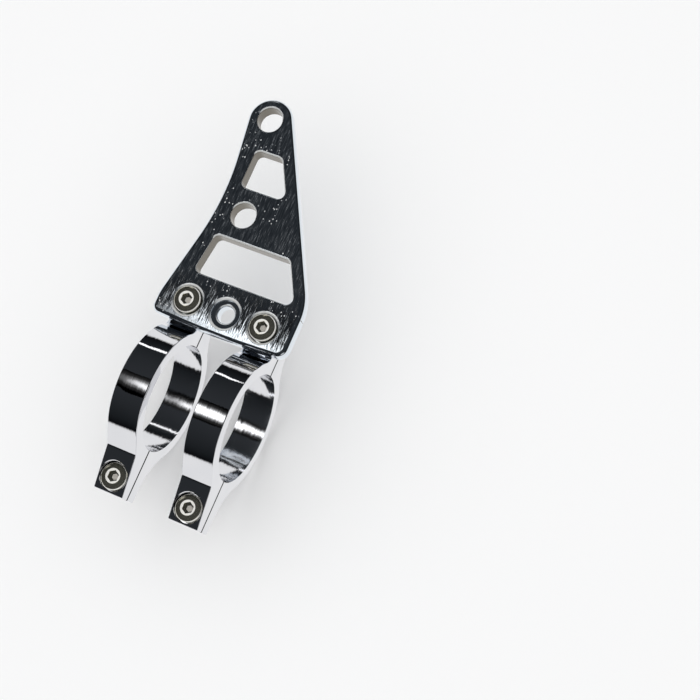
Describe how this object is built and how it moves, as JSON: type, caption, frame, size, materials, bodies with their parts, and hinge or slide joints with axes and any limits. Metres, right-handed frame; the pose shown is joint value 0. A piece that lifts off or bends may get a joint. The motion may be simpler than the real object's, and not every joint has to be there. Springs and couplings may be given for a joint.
{
  "type": "headlight mounting bracket",
  "caption": "Chrome-plated billet side plate with windows and a round tip, screwed to split clamps that grip a motorbike fork tube and carry one side of a headlight.",
  "frame": {"origin": "on the fork tube's axis, midway between the two clamps, on the plane where the clamps split", "axes": "+X along the fork tube, +Y from the clamps towards the plate's tip, +Z out of the plate's front face"},
  "size_m": [0.0571, 0.1641, 0.052],
  "materials": {
    "plate_chrome": "chrome plating over fine lengthwise grinding marks",
    "clamp_chrome": "mirror chrome plating",
    "screw_steel": "plain bright steel, domed button head"
  },
  "bodies": {
    "root": {"side_plate": "plate_chrome", "left_clamp_front_half": "clamp_chrome", "left_clamp_rear_half": "clamp_chrome", "left_plate_screw": "screw_steel", "left_clamp_screw": "screw_steel", "right_clamp_front_half": "clamp_chrome", "right_clamp_rear_half": "clamp_chrome", "right_plate_screw": "screw_steel", "right_clamp_screw": "screw_steel"}
  },
  "joints": []
}
